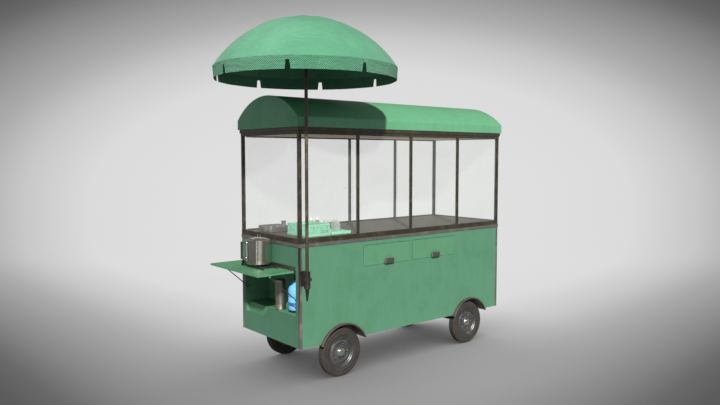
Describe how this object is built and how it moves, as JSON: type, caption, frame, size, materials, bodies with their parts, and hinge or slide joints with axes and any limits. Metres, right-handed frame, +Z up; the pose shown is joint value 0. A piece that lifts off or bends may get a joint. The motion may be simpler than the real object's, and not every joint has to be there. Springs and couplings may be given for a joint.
{
  "type": "push vending cart",
  "caption": "Four-wheeled push vending cart with a glazed counter case, barrel roof, drawers, a fold-down stove shelf with pot and burner, and a clamped parasol.",
  "frame": {"origin": "on the ground, below the middle of the whole cart's box with the parasol open", "axes": "+X along the cart from the stove shelf to the plain end, -Y the long side with drawers and parasol, +Z up"},
  "size_m": [2.6028, 1.414, 2.4173],
  "materials": {
    "green_paint": "satin sprayed enamel",
    "bronze_frame": "dark bronze anodised, satin",
    "grey_steel": "dull worn steel",
    "black_steel": "matt black paint",
    "counter_board": "dark laminated board, satin",
    "clear_glass": "clear polished",
    "cream_board": "matt ceiling board",
    "tyre_rubber": "matt moulded rubber",
    "bright_chrome": "polished",
    "cast_iron": "matt cast",
    "black_plastic": "matt moulded",
    "pot_steel": "spun stainless",
    "bottle_blue": "gloss enamel",
    "mint_plastic": "slightly clear moulded",
    "goods_plastic": "gloss moulded",
    "mast_paint": "dark brown satin enamel",
    "rib_steel": "brown lacquered wire",
    "parasol_cloth": "coated woven cloth"
  },
  "bodies": {
    "chassis": {"front_panel": "green_paint", "back_panel": "green_paint", "right_end_panel": "green_paint", "left_end_panel": "green_paint", "locker_liner": "green_paint", "roof_shell": "green_paint", "case_sill": "bronze_frame", "case_posts": "bronze_frame", "case_header": "bronze_frame", "steel_trims": "grey_steel", "fenders": "grey_steel", "shelf_hinge": "grey_steel", "drawer_runners": "grey_steel", "axles": "grey_steel", "chassis_frame": "black_steel", "floor_panel": "black_steel", "counter_top": "counter_board", "fixed_glass": "clear_glass", "ceiling_panel": "cream_board", "gas_bottle": "bottle_blue", "steel_can": "pot_steel", "serving_trays": "mint_plastic", "counter_goods": "goods_plastic", "mast_clamp": "mast_paint"},
    "drawer_left": {"drawer_left": "green_paint", "drawer_pull_left": "bright_chrome"},
    "drawer_right": {"drawer_right": "green_paint", "drawer_pull_right": "bright_chrome"},
    "rear_door_left": {"rear_door_left": "clear_glass"},
    "rear_door_right": {"rear_door_right": "clear_glass"},
    "shelf": {"shelf_board": "green_paint", "shelf_stays": "grey_steel", "gas_burner": "cast_iron"},
    "burner_knob": {"burner_knob": "black_plastic"},
    "pot": {"pot": "pot_steel"},
    "pot_lid": {"pot_lid": "pot_steel"},
    "mast": {"mast_pole": "mast_paint", "canopy": "parasol_cloth"},
    "clamp_screw": {"clamp_screw": "grey_steel"},
    "runner": {"runner": "mast_paint"},
    "wheel_front_left": {"wheel_front_left": "tyre_rubber"},
    "wheel_front_right": {"wheel_front_right": "tyre_rubber"},
    "wheel_back_left": {"wheel_back_left": "tyre_rubber"},
    "wheel_back_right": {"wheel_back_right": "tyre_rubber"},
    "rib_1": {"rib_1": "rib_steel"},
    "stretcher_1": {"stretcher_1": "rib_steel"},
    "rib_2": {"rib_2": "rib_steel"},
    "stretcher_2": {"stretcher_2": "rib_steel"},
    "rib_3": {"rib_3": "rib_steel"},
    "stretcher_3": {"stretcher_3": "rib_steel"},
    "rib_4": {"rib_4": "rib_steel"},
    "stretcher_4": {"stretcher_4": "rib_steel"},
    "rib_5": {"rib_5": "rib_steel"},
    "stretcher_5": {"stretcher_5": "rib_steel"},
    "rib_6": {"rib_6": "rib_steel"},
    "stretcher_6": {"stretcher_6": "rib_steel"},
    "rib_7": {"rib_7": "rib_steel"},
    "stretcher_7": {"stretcher_7": "rib_steel"},
    "rib_8": {"rib_8": "rib_steel"},
    "stretcher_8": {"stretcher_8": "rib_steel"}
  },
  "joints": [
    {"name": "wheel_front_left_spin", "type": "hinge", "parent": "chassis", "child": "wheel_front_left", "pos_m": [-0.381, -0.03, 0.17], "axis": [0, 1, 0], "continuous": true},
    {"name": "wheel_front_right_spin", "type": "hinge", "parent": "chassis", "child": "wheel_front_right", "pos_m": [0.926, -0.03, 0.17], "axis": [0, 1, 0], "continuous": true},
    {"name": "wheel_back_left_spin", "type": "hinge", "parent": "chassis", "child": "wheel_back_left", "pos_m": [-0.381, 0.644, 0.17], "axis": [0, 1, 0], "continuous": true},
    {"name": "wheel_back_right_spin", "type": "hinge", "parent": "chassis", "child": "wheel_back_right", "pos_m": [0.926, 0.644, 0.17], "axis": [0, 1, 0], "continuous": true},
    {"name": "drawer_left_slide", "type": "slide", "parent": "chassis", "child": "drawer_left", "axis": [0, -1, 0], "range_m": [0, 0.27]},
    {"name": "drawer_right_slide", "type": "slide", "parent": "chassis", "child": "drawer_right", "axis": [0, -1, 0], "range_m": [0, 0.27]},
    {"name": "rear_door_left_slide", "type": "slide", "parent": "chassis", "child": "rear_door_left", "axis": [-1, 0, 0], "range_m": [0, 0.455]},
    {"name": "rear_door_right_slide", "type": "slide", "parent": "chassis", "child": "rear_door_right", "axis": [1, 0, 0], "range_m": [0, 0.455]},
    {"name": "shelf_fold", "type": "hinge", "parent": "chassis", "child": "shelf", "pos_m": [-0.7435, 0.307, 0.769], "axis": [0, -1, 0], "range_deg": [0, 90]},
    {"name": "burner_knob_turn", "type": "hinge", "parent": "shelf", "child": "burner_knob", "pos_m": [-0.8355, 0.484, 0.7865], "axis": [0, 1, 0], "range_deg": [0, 90]},
    {"name": "pot_lift", "type": "slide", "parent": "shelf", "child": "pot", "axis": [0, 0, 1], "range_m": [0, 0.25]},
    {"name": "lid_lift", "type": "slide", "parent": "pot", "child": "pot_lid", "axis": [0, 0, 1], "range_m": [0, 0.2]},
    {"name": "mast_lift", "type": "slide", "parent": "chassis", "child": "mast", "axis": [0, 0, 1], "range_m": [0, 0.35], "deforming": ["canopy"]},
    {"name": "clamp_screw_turn", "type": "hinge", "parent": "chassis", "child": "clamp_screw", "pos_m": [-0.697, -0.124, 0.7275], "axis": [1, 0, 0], "range_deg": [0, 360]},
    {"name": "runner_slide", "type": "slide", "parent": "mast", "child": "runner", "axis": [0, 0, -1], "range_m": [0, 0.3758]},
    {"name": "rib_1_fold", "type": "hinge", "parent": "mast", "child": "rib_1", "pos_m": [-0.6875, -0.124, 2.3988], "axis": [0, 1, 0], "range_deg": [0, 60.05]},
    {"name": "stretcher_1_fold", "type": "hinge", "parent": "rib_1", "child": "stretcher_1", "pos_m": [-0.43117, -0.124, 2.3301], "axis": [0, 1, 0], "range_deg": [-120.1, 0]},
    {"name": "rib_2_fold", "type": "hinge", "parent": "mast", "child": "rib_2", "pos_m": [-0.69658, -0.10208, 2.3988], "axis": [-0.7071, 0.7071, 0], "range_deg": [0, 60.05]},
    {"name": "stretcher_2_fold", "type": "hinge", "parent": "rib_2", "child": "stretcher_2", "pos_m": [-0.51533, 0.07917, 2.3301], "axis": [-0.7071, 0.7071, 0], "range_deg": [-120.1, 0]},
    {"name": "rib_3_fold", "type": "hinge", "parent": "mast", "child": "rib_3", "pos_m": [-0.7185, -0.093, 2.3988], "axis": [-1, 0, 0], "range_deg": [0, 60.05]},
    {"name": "stretcher_3_fold", "type": "hinge", "parent": "rib_3", "child": "stretcher_3", "pos_m": [-0.7185, 0.16333, 2.3301], "axis": [-1, 0, 0], "range_deg": [-120.1, 0]},
    {"name": "rib_4_fold", "type": "hinge", "parent": "mast", "child": "rib_4", "pos_m": [-0.74042, -0.10208, 2.3988], "axis": [-0.7071, -0.7071, 0], "range_deg": [0, 60.05]},
    {"name": "stretcher_4_fold", "type": "hinge", "parent": "rib_4", "child": "stretcher_4", "pos_m": [-0.92167, 0.07917, 2.3301], "axis": [-0.7071, -0.7071, 0], "range_deg": [-120.1, 0]},
    {"name": "rib_5_fold", "type": "hinge", "parent": "mast", "child": "rib_5", "pos_m": [-0.7495, -0.124, 2.3988], "axis": [0, -1, 0], "range_deg": [0, 60.05]},
    {"name": "stretcher_5_fold", "type": "hinge", "parent": "rib_5", "child": "stretcher_5", "pos_m": [-1.00583, -0.124, 2.3301], "axis": [0, -1, 0], "range_deg": [-120.1, 0]},
    {"name": "rib_6_fold", "type": "hinge", "parent": "mast", "child": "rib_6", "pos_m": [-0.74042, -0.14592, 2.3988], "axis": [0.7071, -0.7071, 0], "range_deg": [0, 60.05]},
    {"name": "stretcher_6_fold", "type": "hinge", "parent": "rib_6", "child": "stretcher_6", "pos_m": [-0.92167, -0.32717, 2.3301], "axis": [0.7071, -0.7071, 0], "range_deg": [-120.1, 0]},
    {"name": "rib_7_fold", "type": "hinge", "parent": "mast", "child": "rib_7", "pos_m": [-0.7185, -0.155, 2.3988], "axis": [1, 0, 0], "range_deg": [0, 60.05]},
    {"name": "stretcher_7_fold", "type": "hinge", "parent": "rib_7", "child": "stretcher_7", "pos_m": [-0.7185, -0.41133, 2.3301], "axis": [1, 0, 0], "range_deg": [-120.1, 0]},
    {"name": "rib_8_fold", "type": "hinge", "parent": "mast", "child": "rib_8", "pos_m": [-0.69658, -0.14592, 2.3988], "axis": [0.7071, 0.7071, 0], "range_deg": [0, 60.05]},
    {"name": "stretcher_8_fold", "type": "hinge", "parent": "rib_8", "child": "stretcher_8", "pos_m": [-0.51533, -0.32717, 2.3301], "axis": [0.7071, 0.7071, 0], "range_deg": [-120.1, 0]}
  ],
  "couplings": [
    {"joint": "runner_slide", "follows": "mast_lift", "ratio": 1.0722},
    {"joint": "rib_1_fold", "follows": "mast_lift", "rad_per_m": 2.992},
    {"joint": "stretcher_1_fold", "follows": "mast_lift", "rad_per_m": -5.984},
    {"joint": "rib_2_fold", "follows": "mast_lift", "rad_per_m": 2.992},
    {"joint": "stretcher_2_fold", "follows": "mast_lift", "rad_per_m": -5.984},
    {"joint": "rib_3_fold", "follows": "mast_lift", "rad_per_m": 2.992},
    {"joint": "stretcher_3_fold", "follows": "mast_lift", "rad_per_m": -5.984},
    {"joint": "rib_4_fold", "follows": "mast_lift", "rad_per_m": 2.992},
    {"joint": "stretcher_4_fold", "follows": "mast_lift", "rad_per_m": -5.984},
    {"joint": "rib_5_fold", "follows": "mast_lift", "rad_per_m": 2.992},
    {"joint": "stretcher_5_fold", "follows": "mast_lift", "rad_per_m": -5.984},
    {"joint": "rib_6_fold", "follows": "mast_lift", "rad_per_m": 2.992},
    {"joint": "stretcher_6_fold", "follows": "mast_lift", "rad_per_m": -5.984},
    {"joint": "rib_7_fold", "follows": "mast_lift", "rad_per_m": 2.992},
    {"joint": "stretcher_7_fold", "follows": "mast_lift", "rad_per_m": -5.984},
    {"joint": "rib_8_fold", "follows": "mast_lift", "rad_per_m": 2.992},
    {"joint": "stretcher_8_fold", "follows": "mast_lift", "rad_per_m": -5.984}
  ]
}
